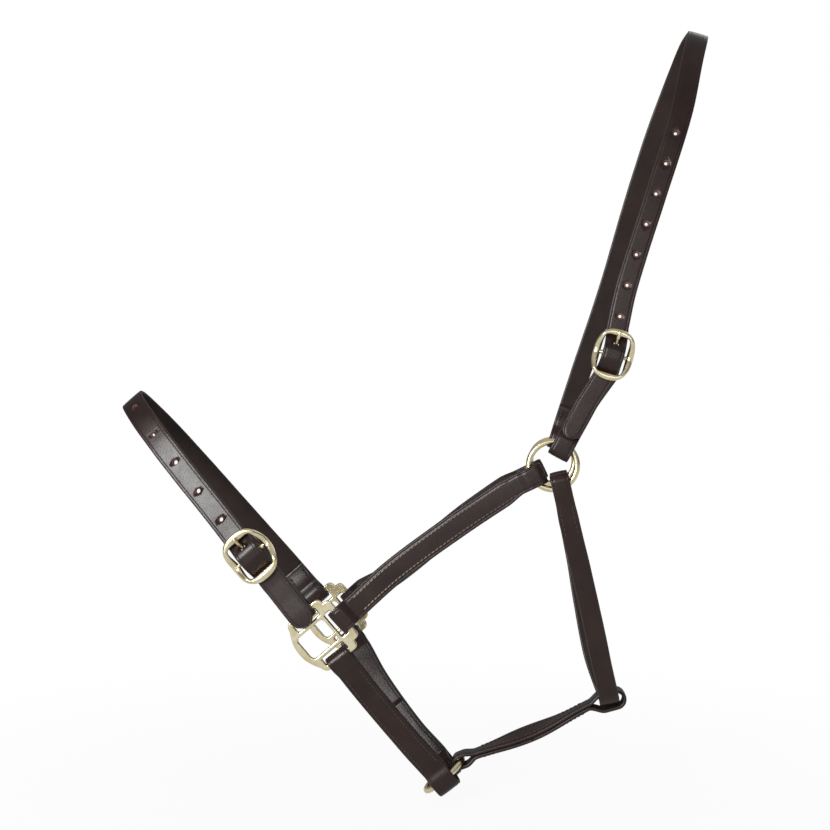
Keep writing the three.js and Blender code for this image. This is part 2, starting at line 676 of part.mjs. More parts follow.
function throatGeometry() {
  const away = { leaving: across(-77), tilt: 8 };
  const near = ringBar(NEAR_RING, across(-68.5), RING_AXIS.clone().negate(), away);
  const far = ringBar(FAR_RING, across(-68.5), RING_AXIS, away);
  const fold = (slack) => ({ sag: sagWithin(THROAT_WIDTH) + slack, bow: 0.6 });
  const places = [
    place(near, FOLD_REACH, PLY), vec(-97, -54, -364), vec(-88, -45, -400), vec(-79, -33, -438),
    vec(-71, -20, -474), vec(-65, -13, -500), vec(-64, -7.5, -505.3),
    vec(-64, 0, -506.4),
    vec(-64, 7.5, -505.3), vec(-66, 13, -500), vec(-75, 20, -474),
    vec(-82, 33, -438), vec(-88, 45, -400), vec(-95, 54, -364), place(far, FOLD_REACH, PLY),
  ];
  const run = smoothRun(places, 44);
  const widthAt = between(near, far);
  const points = [
    ...turnedUnder(run, widthAt, FAR, 4),
    ...foldRound(near, RING.bar, fold(3)).reverse(),
    ...run,
    ...foldRound(far, RING.bar, fold(1)),
    ...turnedUnder([...run].reverse(), widthAt, NEAR, 4).reverse(),
  ];
  const nearWidth = narrowedAt(near.origin, THROAT_WIDTH, THROAT_WAIST);
  const farWidth = narrowedAt(far.origin, THROAT_WIDTH, THROAT_WAIST);
  return strap(points, widthAt, (point) => Math.min(nearWidth(point), farWidth(point)));
}

addPart('throat_strap', throatGeometry(), 'leather');

// ---------------------------------------------------------------- jowl strap

function jowlGeometry() {
  const chinBar = CHIN_RING.clone().addScaledVector(CHIN_PLANE, CHIN_RADIUS);
  const chin = frameAt(chinBar, across(22), vec(0, 0, 1));
  const throat = frameAt(vec(-64, 0, -504.4), across(196), vec(0, 0, 1));
  return doubledStrap(
    { frame: chin, bar: RING.bar, sag: sagWithin(JOWL_WIDTH, CHIN_RADIUS), bow: 1 },
    { frame: throat, bar: 4.8, sag: 5.2, reach: 17 },
    [vec(-140, 0, -537.5), vec(-108, 0, -524)],
    vec(-0.37, 0, 0.93),
    JOWL_WIDTH,
  );
}

addPart('jowl_strap', jowlGeometry(), 'leather');

export default headcollar;
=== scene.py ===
"""Looks of the leather headcollar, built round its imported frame.

Shapes are worked out in millimetres, +Z up, -X towards the muzzle, -Y the near side, with the
same design values as the frame, and turned into metres when a mesh is made.
"""

import math
from collections import namedtuple

import bmesh
import bpy
from mathutils import Matrix, Vector, noise


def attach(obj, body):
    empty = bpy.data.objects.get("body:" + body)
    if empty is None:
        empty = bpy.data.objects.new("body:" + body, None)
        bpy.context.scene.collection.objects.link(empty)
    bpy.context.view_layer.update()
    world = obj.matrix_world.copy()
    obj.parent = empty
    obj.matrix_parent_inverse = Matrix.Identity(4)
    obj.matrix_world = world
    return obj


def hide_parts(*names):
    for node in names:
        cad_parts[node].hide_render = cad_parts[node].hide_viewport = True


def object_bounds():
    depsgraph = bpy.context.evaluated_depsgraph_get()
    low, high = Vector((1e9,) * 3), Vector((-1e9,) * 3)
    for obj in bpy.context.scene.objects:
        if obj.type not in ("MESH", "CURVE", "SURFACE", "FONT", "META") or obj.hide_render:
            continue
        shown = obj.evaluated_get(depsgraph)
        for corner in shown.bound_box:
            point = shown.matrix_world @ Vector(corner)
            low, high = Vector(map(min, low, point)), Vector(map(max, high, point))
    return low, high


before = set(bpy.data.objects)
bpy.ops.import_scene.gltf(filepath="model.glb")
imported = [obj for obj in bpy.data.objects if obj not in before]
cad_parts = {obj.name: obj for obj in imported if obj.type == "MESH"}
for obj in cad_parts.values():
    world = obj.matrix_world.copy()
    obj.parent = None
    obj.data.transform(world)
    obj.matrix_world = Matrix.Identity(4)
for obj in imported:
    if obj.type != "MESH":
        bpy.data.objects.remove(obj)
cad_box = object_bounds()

MM = 0.001

# ------------ design values, in millimetres

LEATHER = 2.8
GAP = 0.3
PLY = (LEATHER + GAP) / 2
WIDE = 19
NARROW = 16
THROAT_WIDTH, THROAT_WAIST = 15, 14
JOWL_WIDTH = 16
JOWL_LEAN = 22  # degrees that the jowl strap leans over between its ends
TURNED = 28  # how much of a strap's end is turned back at a far ring or square
THROAT_TURNED = 42
FOLD_REACH = 12

RING_RADIUS, RING_BAR, CHIN_RADIUS = 17.5, 2.25, 18.25
NEAR_RING = Vector((-109.6, -56, -320.3))
FAR_RING = Vector((-106.3, 56, -324.5))
CHIN_RING = Vector((-191, 0, -564))
CHIN_RING_TILT = 41

SQUARE = Vector((-281, 46, -449))
SQUARE_THICK, SQUARE_EDGE, SQUARE_REACH, CHEEK_REACH = 4.4, 4.4, 21.4, 19.8
SQUARE_BAR = SQUARE_THICK / 2 + 0.8

FRAME_HEIGHT = 3.5
PIN = 1.75  # radius of a buckle's centre bar
RISE = 6.6  # how far the ends of a buckle's frame stand out past its centre bar
BuckleSize = namedtuple("BuckleSize", "half_length end_opening opening side_bar")
HEAD_FRAME = BuckleSize(19, 13.8, 19.2, 5.4)
NOSE_FRAME = BuckleSize(21, 14.4, 23.4, 6)
HOLE, TONGUE = 1.9, 1.4
TONGUE_ROOM = 1.15
BILLET_UNDER = 1.6
BILLET_OVER = PIN + 2 * GAP + LEATHER * 1.5 + 0.5
CHAPE_SINK = 3 * PLY - BILLET_UNDER
BILLET_REACH = 20


def vec(x, y, z):
    return Vector((x, y, z))


def across(angle):
    return vec(math.cos(math.radians(angle)), 0, math.sin(math.radians(angle)))


NEAR, FAR, UP = vec(0, -1, 0), vec(0, 1, 0), vec(0, 0, 1)
RING_AXIS = (FAR_RING - NEAR_RING).normalized()
NOSE_WIDTH = across(41)
NOSE_RUN = across(41 - 90)


# ------------ small maths

class Frame(namedtuple("Frame", "origin e n w")):
    """A place with three directions: e along a strap, n out of its face, w across it."""

    def at(self, e, n, w=0):
        return self.origin + self.e * e + self.n * n + self.w * w


def frame_at(origin, e, n):
    run = e.normalized()
    face = (n - run * n.dot(run)).normalized()
    return Frame(origin.copy(), run, face, face.cross(run))


def clamp(t, low=0.0, high=1.0):
    return max(low, min(high, t))


def smoothstep(x, low, high):
    t = clamp((x - low) / (high - low))
    return t * t * (3 - 2 * t)


def on_plane(direction, normal):
    return (direction - normal * direction.dot(normal)).normalized()


def catmull(places, steps):
    """Points of a centripetal Catmull-Rom curve through the places."""
    last = len(places) - 1
    points = []
    for i in range(steps + 1):
        at = last * i / steps
        k = min(int(at), last - 1)
        t = at - k
        p1, p2 = places[k], places[k + 1]
        p0 = places[k - 1] if k > 0 else p1 * 2 - p2
        p3 = places[k + 2] if k < last - 1 else p2 * 2 - p1
        d0, d1, d2 = (math.sqrt((b - a).length) for a, b in ((p0, p1), (p1, p2), (p2, p3)))
        m1 = ((p1 - p0) / d0 - (p2 - p0) / (d0 + d1) + (p2 - p1) / d1) * d1
        m2 = ((p2 - p1) / d1 - (p3 - p1) / (d1 + d2) + (p3 - p2) / d2) * d1
        points.append(p1 + m1 * t + (p1 * -3 + p2 * 3 - m1 * 2 - m2) * t ** 2
                      + (p1 * 2 - p2 * 2 + m1 + m2) * t ** 3)
    return points


FINE = 4  # stations of a strap for each one of the frame's
LAYER_STEPS = 16
BUTT = 0.06  # half the seam where a doubled strap's two skived ends meet
NECK_STEPS, FOLD_STEPS = 12, 16
CLOSEST = 0.1  # stations nearer than this are left out


def smooth_run(places, steps):
    """A smooth run through a few places, without its first and last point."""
    return catmull(places, steps * FINE)[1:-1]


# ------------ paths of straps

def fold_round(at, bar, sag=0, bow=0, reach=FOLD_REACH, sink=0):
    """The middle line of a strap folded round a bar, from one layer to the other."""
    radius = bar + GAP + LEATHER / 2 + bow / 2
    neck = []
    for i in range(NECK_STEPS + 1):
        t = i / NECK_STEPS
        neck.append((reach + (bar - reach) * t, PLY + (radius - PLY) * smoothstep(t, 0, 1)))
    turns = [math.pi * i / FOLD_STEPS for i in range(FOLD_STEPS + 1)]
    fold = [(-sag - radius * math.sin(turn), radius * math.cos(turn)) for turn in turns]
    line = neck + fold + [(e, -n) for e, n in reversed(neck)]
    line = [p for i, p in enumerate(line) if i == 0 or math.dist(p, line[i - 1]) > CLOSEST]
    points = []
    for e, n in line:
        t = smoothstep(e, bar, reach)
        points.append(at.at(e, n - bow / 2 * (1 - t) - sink * t))
    return points


class Loop:
    """One end of a doubled strap: the bar that it folds round, and how."""

    def __init__(self, at, bar, **options):
        self.at, self.bar, self.options = at, bar, options
        self.reach = options.get("reach", FOLD_REACH)
        self.sink = options.get("sink", 0)

    def end(self, n):
        return self.at.at(self.reach, n - self.sink)

    def points(self):
        return fold_round(self.at, self.bar, **self.options)


def between(first, second):
    """A width direction that turns evenly from one frame's to the other's."""
    span = second.origin - first.origin
    last = second.w if second.w.dot(first.w) > 0 else -second.w

    def width_at(point):
        t = clamp((point - first.origin).dot(span) / span.length_squared)
        return first.w.lerp(last, t)
    return width_at


def always(direction):
    return lambda point: direction


def rolled(width_at, start, run, length, angle):
    """The width direction of a strap that leans over by an angle at the middle of a stretch."""
    def leaning_at(point):
        t = clamp((point - start).dot(run) / length)
        lean = angle * math.sin(math.pi * t) ** 2
        return Matrix.Rotation(math.radians(lean), 3, run) @ width_at(point)
    return leaning_at


def doubled_path(first, second, places, face):
    """The path of a strap of two layers, and where its outer layer starts and ends on it."""
    def layer(n):
        return [first.end(n), *(p + face * n for p in places), second.end(n)]
    inner = smooth_run(layer(-PLY)[::-1], LAYER_STEPS)
    butt = len(inner) // 2
    stop = [inner[butt] + (inner[butt + k] - inner[butt]).normalized() * BUTT for k in (1, -1)]
    start = [stop[0], *inner[butt + 1:], *reversed(first.points())]
    outer = smooth_run(layer(PLY), LAYER_STEPS)
    points = [*start, *outer, *second.points(), *inner[:butt], stop[1]]
    return points, len(start), len(start) + len(outer) - 1


def turned_under(run, width_at, inward, length):
    """The end of a strap, turned back and sewn under the start of its own run."""
    points, travelled = [], 0
    for i, point in enumerate(run):
        if i:
            travelled += (point - run[i - 1]).length
        if travelled > length:
            break
        run_at = (run[i + 1] - run[max(i - 1, 0)]).normalized()
        face = run_at.cross(on_plane(width_at(point), run_at))
        if face.dot(inward) < 0:
            face = -face
        points.append(point + face * 2 * PLY)
    return points[::-1]


WAIST_END, FULL_WIDTH_FROM = 11, 26


def narrowed_at(origin, width, waist):
    """A width that a strap keeps, but for a narrower stretch where it folds round a ring."""
    def width_at(point):
        share = smoothstep((point - origin).length, WAIST_END, FULL_WIDTH_FROM)
        return waist + (width - waist) * share
    return width_at


# ------------ materials

# Scales are in details per metre, bump distances in metres.
CLOUDS, HANDLING, CREASES, PORES = 55, 160, 620, 1500
TARNISH, SCUFFS, CAST_SKIN = 95, 420, 150
FIBRES = 2600


def node_material(name):
    material = bpy.data.materials.new(name)
    material.use_nodes = True
    tree = material.node_tree
    shader = tree.nodes["Principled BSDF"]
    coords = tree.nodes.new("ShaderNodeTexCoord").outputs["Object"]
    return material, tree, shader, coords


def add_noise(tree, coords, scale, detail=3.0, rough=0.55):
    node = tree.nodes.new("ShaderNodeTexNoise")
    node.inputs["Scale"].default_value = scale
    node.inputs["Detail"].default_value = detail
    node.inputs["Roughness"].default_value = rough
    tree.links.new(coords, node.inputs["Vector"])
    return node.outputs["Fac"]


def add_ramp(tree, value, stops):
    node = tree.nodes.new("ShaderNodeValToRGB")
    ramp = node.color_ramp
    while len(ramp.elements) < len(stops):
        ramp.elements.new(0.5)
    for element, (position, color) in zip(ramp.elements, stops):
        element.position = position
        element.color = (*color, 1.0)
    tree.links.new(value, node.inputs["Fac"])
    return node.outputs["Color"]


def add_range(tree, value, low, high, start=0.0, end=1.0, smooth=False):
    node = tree.nodes.new("ShaderNodeMapRange")
    if smooth:
        node.interpolation_type = "SMOOTHSTEP"
    limits = {"From Min": start, "From Max": end, "To Min": low, "To Max": high}
    for socket, limit in limits.items():
        node.inputs[socket].default_value = limit
    tree.links.new(value, node.inputs["Value"])
    return node.outputs["Result"]


def add_axis(tree, vector, axis):
    node = tree.nodes.new("ShaderNodeSeparateXYZ")
    tree.links.new(vector, node.inputs["Vector"])
    return node.outputs[axis]


def add_color_mix(tree, share, color, other):
    """A colour that turns from a linked one into a fixed one."""
    node = tree.nodes.new("ShaderNodeMix")
    node.data_type = "RGBA"
    factor, first, second = node.inputs[0], node.inputs[6], node.inputs[7]
    second.default_value = (*other, 1.0)
    tree.links.new(share, factor)
    tree.links.new(color, first)
    return node.outputs[2]


def add_shader_mix(tree, share, first, second):
    node = tree.nodes.new("ShaderNodeMixShader")
    tree.links.new(share, node.inputs["Fac"])
    tree.links.new(first, node.inputs[1])
    tree.links.new(second, node.inputs[2])
    return node.outputs["Shader"]


def add_math(tree, operation, a, b):
    node = tree.nodes.new("ShaderNodeMath")
    node.operation = operation
    for socket, value in zip(node.inputs, (a, b)):
        if isinstance(value, (int, float)):
            socket.default_value = value
        else:
            tree.links.new(value, socket)
    return node.outputs["Value"]


def add_bump(tree, shader, height, strength, distance):
    node = tree.nodes.new("ShaderNodeBump")
    node.inputs["Strength"].default_value = strength
    node.inputs["Distance"].default_value = distance
    tree.links.new(height, node.inputs["Height"])
    tree.links.new(node.outputs["Normal"], shader.inputs["Normal"])


def add_cells(tree, coords, scale):
    node = tree.nodes.new("ShaderNodeTexVoronoi")
    node.feature = "SMOOTH_F1"
    node.inputs["Scale"].default_value = scale
    node.inputs["Smoothness"].default_value = 0.6
    tree.links.new(coords, node.inputs["Vector"])
    return node.outputs["Distance"]


def leather(name, dark, light, rough, grain, coat):
    """Havana bridle leather: fine pores over a soft cloudy colour, with a waxed sheen."""
    material, tree, shader, coords = node_material(name)
    color = add_ramp(tree, add_noise(tree, coords, CLOUDS, 4), [(0.3, dark), (0.7, light)])
    tree.links.new(color, shader.inputs["Base Color"])
    handling = add_noise(tree, coords, HANDLING, 3)
    tree.links.new(add_range(tree, handling, *rough), shader.inputs["Roughness"])
    pores = add_cells(tree, coords, PORES)
    creases = add_noise(tree, coords, CREASES, 4, 0.65)
    height = add_math(tree, "ADD", add_math(tree, "MULTIPLY", pores, 0.6), creases)
    add_bump(tree, shader, height, grain, 0.00016)
    shader.inputs["Coat Weight"].default_value = coat
    shader.inputs["Coat Roughness"].default_value = 0.34
    shader.inputs["Specular IOR Level"].default_value = 0.38
    return material


def thread(name, dark, light, painted_shade=None):
    """Waxed linen thread; the optional last argument is a darker colour painted on as shade, and
    where along X it starts and is full.
    """
    material, tree, shader, coords = node_material(name)
    fibres = add_noise(tree, coords, FIBRES, 2)
    color = add_ramp(tree, fibres, [(0.3, dark), (0.7, light)])
    # painted shade: the thread turns into the darker colour towards higher X
    if painted_shade:
        shade_color, start, end = painted_shade
        share = add_range(tree, add_axis(tree, coords, "X"), 0, 1, start, end)
        color = add_color_mix(tree, share, color, shade_color)
    tree.links.new(color, shader.inputs["Base Color"])
    shader.inputs["Roughness"].default_value = 0.7
    add_bump(tree, shader, fibres, 0.5, 0.00012)
    return material


def brass(name, dark, light, rough):
    """Cast and polished brass with handling marks and a duller skin in places."""
    material, tree, shader, coords = node_material(name)
    tarnish = add_noise(tree, coords, TARNISH, 4, 0.6)
    color = add_ramp(tree, tarnish, [(0.32, dark), (0.62, light)])
    tree.links.new(color, shader.inputs["Base Color"])
    shader.inputs["Metallic"].default_value = 1.0
    scuffs = add_noise(tree, coords, SCUFFS, 4, 0.7)
    tree.links.new(add_range(tree, scuffs, *rough), shader.inputs["Roughness"])
    skin = add_noise(tree, coords, CAST_SKIN, 2)
    add_bump(tree, shader, skin, 0.08, 0.0003)
    return material


GRAIN = leather("leather_grain", (0.012, 0.0042, 0.0032), (0.025, 0.0106, 0.0080),
                rough=(0.27, 0.36), grain=0.38, coat=0.03)
FLESH = leather("leather_flesh", (0.014, 0.0068, 0.0052), (0.026, 0.0135, 0.0105),
                rough=(0.74, 0.88), grain=0.5, coat=0)
EDGE = leather("leather_edge", (0.012, 0.0048, 0.0038), (0.028, 0.0128, 0.0100),
               rough=(0.34, 0.46), grain=0.25, coat=0.12)
RAW = leather("leather_punched", (0.13, 0.06, 0.045), (0.24, 0.13, 0.10),
              rough=(0.7, 0.85), grain=0.6, coat=0)
# The cheek thread has painted shade: darker towards the cheek rings, pale towards the squares.
PALE_THREAD = thread("thread_cream", (0.20, 0.16, 0.125), (0.42, 0.35, 0.28),
                     painted_shade=((0.075, 0.05, 0.042), -0.245, -0.13))
BROWN_THREAD = thread("thread_brown", (0.032, 0.019, 0.016), (0.072, 0.045, 0.036))
BRASS = brass("brass_polished", (0.78, 0.65, 0.36), (0.95, 0.87, 0.61), rough=(0.18, 0.32))


# ------------ meshes

def make_object(name, points, faces, materials, indices=None):
    mesh = bpy.data.meshes.new(name)
    mesh.from_pydata([p * MM for p in points], [], faces)
    for material in materials:
        mesh.materials.append(material)
    if indices:
        mesh.polygons.foreach_set("material_index", indices)
    obj = bpy.data.objects.new(name, mesh)
    bpy.context.scene.collection.objects.link(obj)
    face_outwards(obj)
    return obj


def face_outwards(obj):
    work = bmesh.new()
    work.from_mesh(obj.data)
    bmesh.ops.recalc_face_normals(work, faces=work.faces)
    if work.calc_volume(signed=True) < 0:
        bmesh.ops.reverse_faces(work, faces=work.faces)
    for face in work.faces:
        face.smooth = True
    work.to_mesh(obj.data)
    work.free()


def apply_modifiers(obj):
    ready = obj.evaluated_get(bpy.context.evaluated_depsgraph_get())
    mesh = bpy.data.meshes.new_from_object(ready)
    obj.modifiers.clear()
    obj.data = mesh


def sweep(points, widths, normals, section, closed=False):
    """Rings of a section carried along points; section(i) gives (across, out) pairs."""
    rings = []
    for i, (point, side, out) in enumerate(zip(points, widths, normals)):
        rings.append([point + side * w + out * n for w, n in section(i)])
    size = len(rings[0])
    faces = []
    count = len(rings)
    for i in range(count if closed else count - 1):
        a, b = i * size, (i + 1) % count * size
        faces += [(a + j, a + (j + 1) % size, b + (j + 1) % size, b + j) for j in range(size)]
    if not closed:
        faces.append(tuple(range(size)))
        faces.append(tuple(range((count - 1) * size, count * size)))
    return [p for ring in rings for p in ring], faces


def tube(points, radius, sides=12, closed=False):
    """A round bar along points; radius is a number or one for each point."""
    count = len(points)
    radii = radius if isinstance(radius, list) else [radius] * count
    tangents = []
    for i in range(count):
        ahead = points[(i + 1) % count] if closed else points[min(i + 1, count - 1)]
        behind = points[i - 1] if closed else points[max(i - 1, 0)]
        tangents.append((ahead - behind).normalized())
    side = tangents[0].orthogonal().normalized()
    sides_of, outs = [], []
    for tangent in tangents:
        side = on_plane(side, tangent)
        sides_of.append(side)
        outs.append(tangent.cross(side))
    angles = [2 * math.pi * k / sides for k in range(sides)]

    def section(i):
        return [(radii[i] * math.cos(angle), radii[i] * math.sin(angle)) for angle in angles]
    return sweep(points, sides_of, outs, section, closed)


def join_shells(shells):
    points, faces = [], []
    for shell_points, shell_faces in shells:
        start = len(points)
        points += shell_points
        faces += [tuple(start + k for k in face) for face in shell_faces]
    return points, faces


def carve(obj, cutters, inside):
    """Cuts the closed shells out of the object, and gives the cut faces a material."""
    tool = make_object("cutter", *join_shells(cutters), [inside])
    cut = obj.modifiers.new("cut", "BOOLEAN")
    cut.operation, cut.solver, cut.object = "DIFFERENCE", "EXACT", tool
    cut.material_mode = "TRANSFER"
    apply_modifiers(obj)
    bpy.data.objects.remove(tool)


def cast(name, shells, voxel, smoothing):
    """One cast piece from overlapping shells, with every edge and inner corner rounded."""
    obj = make_object(name, *join_shells(shells), [BRASS])
    remesh = obj.modifiers.new("remesh", "REMESH")
    remesh.mode, remesh.voxel_size = "VOXEL", voxel * MM
    relax = obj.modifiers.new("relax", "SMOOTH")
    relax.iterations, relax.factor = smoothing, 0.5
    apply_modifiers(obj)
    if not obj.data.materials:
        obj.data.materials.append(BRASS)
    obj.data.polygons.foreach_set("use_smooth", [True] * len(obj.data.polygons))
    return obj


def finish_piece(obj, body, node):
    """Lets a piece ride on a body, in the place of a CAD node."""
    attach(obj, body)
    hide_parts(node)


# ------------ straps

CREASE_IN, CREASE_DEPTH = 2.0, 0.26  # the creased line along each edge of the grain side
CROWN = 0.16  # how much the grain side is domed
SKIVED, SKIVE_LENGTH = 0.1, 16  # thickness left at a pared end, and how far the paring goes
PUNCH_SIDES = 28
WANDER, SWELL = 0.16, 0.035  # how much a strap's edges and thickness vary
WANDER_SCALE, SWELL_SCALE = 0.045, 0.12
TIP_SHARE, TIP_BLUNT = 0.55, 0.12  # length and bluntness of a billet's tip, in widths
STRAP_MATERIALS = [GRAIN, FLESH, EDGE]
STRAP_FACES = [0] * 5 + [2] * 7 + [1] * 4 + [2] * 7 + [0] * 5


def strap_section(half, thick):
    """Half widths and heights round a strap: grain side, burnished edge, flesh side."""
    t = thick / 2
    grain = [
        (half - 3.6, t), (half - CREASE_IN - 0.55, t - 0.02), (half - CREASE_IN, t - CREASE_DEPTH),
        (half - CREASE_IN + 0.5, t - 0.03), (half - 1.05, t - 0.04),
    ]
    edge = [
        (half - 0.5, t - 0.2), (half - 0.14, t - 0.6), (half, t - 1.2), (half, -t + 1.0),
        (half - 0.14, -t + 0.45), (half - 0.5, -t + 0.12),
    ]
    flesh = [(half - 1.1, -t), (half - 3.6, -t)]
    right = []
    for w, n in grain + edge + flesh:
        dome = CROWN * (0.5 - (w / half) ** 2) if n > 0 else 0
        right.append((max(w, 0.2), n + dome))
    return [(0, t + CROWN / 2), *right, (0, -t), *[(-w, n) for w, n in reversed(right)]]


class Band:
    """A strap's path with its directions, from which its mesh, holes and stitches are made."""

    def __init__(self, points, width_at, size, outward, tip=False, skived=(False, False)):
        self.points = points
        self.skived = skived
        end = points[-1]
        self.sides, self.outs, self.halves, self.along = [], [], [], [0.0]
        for i, point in enumerate(points):
            ahead = (points[min(i + 1, len(points) - 1)] - point).normalized()
            behind = (point - points[max(i - 1, 0)]).normalized()
            run = (ahead + behind).normalized()
            side = on_plane(width_at(point), run)
            width = size(point) if callable(size) else size
            if tip:
                inside = min((point - end).length / (width * TIP_SHARE), 1)
                width *= max(math.sqrt(1 - (1 - inside) ** 2), TIP_BLUNT)
            self.sides.append(side)
            self.outs.append(run.cross(side))
            self.halves.append(width / 2)
            if i:
                self.along.append(self.along[-1] + (point - points[i - 1]).length)
        where, direction = outward
        if self.outs[self.station(where)].dot(direction) < 0:
            self.outs = [-out for out in self.outs]
            self.sides = [-side for side in self.sides]

    def thickness(self, i):
        """Share of the full thickness left at a station; a skived end is pared down thin."""
        share = 1
        for pared, away in zip(self.skived, (self.along[i], self.along[-1] - self.along[i])):
            if pared:
                share = min(share, SKIVED + (1 - SKIVED) * smoothstep(away, 0, SKIVE_LENGTH))
        return share

    def station(self, place):
        """The number of the station nearest to a place."""
        return min(range(len(self.points)), key=lambda i: (self.points[i] - place).length)

    def at(self, distance):
        """(point, side, out) at a distance along the strap."""
        k = next((i for i, s in enumerate(self.along) if s > distance), len(self.along) - 1)
        t = clamp((distance - self.along[k - 1]) / (self.along[k] - self.along[k - 1]))

        def mix(values):
            return values[k - 1] * (1 - t) + values[k] * t
        return mix(self.points), mix(self.sides).normalized(), mix(self.outs).normalized()

    def section(self, i):
        """The section at a station, with slightly uneven edges and thickness."""
        half, point = self.halves[i], self.points[i]
        wander = noise.noise(point * WANDER_SCALE) * WANDER * min(half / 8, 1)
        swell = 1 + noise.noise(point * SWELL_SCALE + vec(40, 0, 0)) * SWELL
        pairs = strap_section(half + wander, LEATHER * swell)
        if half < 5:
            pairs = [(clamp(w, -half, half), n) for w, n in pairs]
        share = self.thickness(i)
        return [(w, n * share - (1 - share) * LEATHER / 2) for w, n in pairs]

    def build(self, name):
        points, faces = sweep(self.points, self.sides, self.outs, self.section)
        indices = STRAP_FACES * (len(self.points) - 1) + [2, 2]
        return make_object(name, points, faces, STRAP_MATERIALS, indices)

    def punch(self, distance, radius, back):
        """A shell that punches a hole with a dished rim, and of another radius at its back."""
        point, _, out = self.at(distance)
        half = LEATHER / 2
        profile = [
            (-half - 1, back), (-half + 0.4, back), (half - 0.7, radius - 0.1),
            (half - 0.2, radius + 0.15), (half + 0.06, radius + 0.5), (half + 1, radius + 0.9),
        ]
        return tube([point + out * n for n, _ in profile], [r for _, r in profile], PUNCH_SIDES)


STITCH, STITCH_GAP = 2.7, 0.85
STITCH_ARC = [(-0.5, -0.35), (-0.36, 0.1), (0, 0.24), (0.36, 0.1), (0.5, -0.35)]
STITCH_RADII = [0.3, 0.42, 0.46, 0.42, 0.3]
STITCH_SLANT, STITCH_SIDES = 0.22, 7
SEAM_INSET = 3  # from the ends of a doubled strap's middle to its first stitch
TAIL_INSET, FOLD_INSET = 4, 1  # from a turned-back end and from its fold to the first stitch


def stitch_row(band, start, end, offset):
    """Stitches along a strap's outer face, at an offset from its middle."""
    shells = []
    count = max(1, round(abs(end - start) / (STITCH + STITCH_GAP)))
    pitch = (end - start) / count
    for i in range(count):
        middle = start + pitch * (i + 0.5)
        span = pitch * STITCH / (STITCH + STITCH_GAP)
        points = []
        for u, lift in STITCH_ARC:
            point, side, out = band.at(middle + u * span)
            across_at = offset + STITCH_SLANT * u
            points.append(point + side * across_at + out * (LEATHER / 2 + lift))
        shells.append(tube(points, STITCH_RADII, STITCH_SIDES))
    return shells


def stitches(name, shells, material, body):
    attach(make_object(name, *join_shells(shells), [material]), body)


# ------------ fittings

ROUND_STEPS = 144  # stations round a ring or a buckle's frame
RING_SIDES, BAR_SIDES, BUCKLE_SIDES = 28, 16, 16
RING_WOBBLE = 0.02
SQUARE_SLOT, SQUARE_BEVEL = 6.2, 0.9
SLOT_SIDE, SLOT_CORNER, CENTRE_CORNER = (-11.5, 9.5), 1.2, 3.5
SQUARE_VOXEL, BUCKLE_VOXEL, TONGUE_VOXEL = 0.34, 0.3, 0.24
OPENING_POWER, OUTLINE_POWER = 7, 2.4  # how square the inside and the outside of a buckle are
LIFT_FROM, LIFT_TO = 1, 14
EYE_STEPS, EYE_WIDTH, EYE_THICK = 28, 3.4, 1.1


def ring_frame(centre, direction, face, leaving=None, tilt=0):
    """The bar of a cheek ring, as a frame for a strap folded round it."""
    run = on_plane(leaving or direction, RING_AXIS)
    hinge = face.cross(run).normalized()
    origin = centre + on_plane(direction, RING_AXIS) * RING_RADIUS
    return frame_at(origin, Matrix.Rotation(math.radians(tilt), 3, hinge) @ run, face)


def sag_within(width, radius=RING_RADIUS):
    inner = radius - RING_BAR
    return inner - math.sqrt(inner ** 2 - (width / 2) ** 2)


def square_centre(side):
    return vec(SQUARE.x, side * SQUARE.y, SQUARE.z)


def square_frame(side, run, width, leaving):
    origin = square_centre(side) + NOSE_RUN * run + NOSE_WIDTH * width
    return frame_at(origin, leaving, NEAR if side < 0 else FAR)


def ring(name, centre, axis, radius, body):
    """A cast ring, with a bar that is a little uneven."""
    u = axis.orthogonal().normalized()
    v = axis.cross(u)
    points, radii = [], []
    for i in range(ROUND_STEPS):
        angle = 2 * math.pi * i / ROUND_STEPS
        direction = u * math.cos(angle) + v * math.sin(angle)
        points.append(centre + direction * radius)
        radii.append(RING_BAR * (1 + RING_WOBBLE * noise.noise(direction * 3)))
    obj = make_object(name, *tube(points, radii, RING_SIDES, closed=True), [BRASS])
    finish_piece(obj, body, name)


def quadratic(start, control, end, steps=8):
    """Points of a quadratic curve after its start."""
    points = []
    for i in range(1, steps + 1):
        t = i / steps
        points.append(tuple((1 - t) ** 2 * a + 2 * t * (1 - t) * b + t * t * c
                            for a, b, c in zip(start, control, end)))
    return points


def square_outline():
    """Half of the outline in (across, up) pairs, and its mirror image."""
    edge = SQUARE_REACH + SQUARE_EDGE / 2
    top = CHEEK_REACH + SQUARE_EDGE / 2
    half = [(0, top), (14, top)]
    for control, end in (((18.5, top), (18, 16.5)), ((edge, 16.5), (edge, 12))):
        half += quadratic(half[-1], control, end)
    half.append((edge, -10))
    for control, end in (((edge, -15.5), (17.5, -16.5)), ((9, -top), (0, -top))):
        half += quadratic(half[-1], control, end)
    return half + [(-u, v) for u, v in reversed(half[1:-1])]


def rounded_slot(u0, u1, v0, v1, radius):
    corners = [((u1, v0), (1, 0), (0, 1)), ((u1, v1), (0, 1), (-1, 0)),
               ((u0, v1), (-1, 0), (0, -1)), ((u0, v0), (0, -1), (1, 0))]
    points = []
    for (u, v), before, after in corners:
        start = (u - before[0] * radius, v - before[1] * radius)
        end = (u + after[0] * radius, v + after[1] * radius)
        points += [start, *quadratic(start, (u, v), end, 5)]
    return points


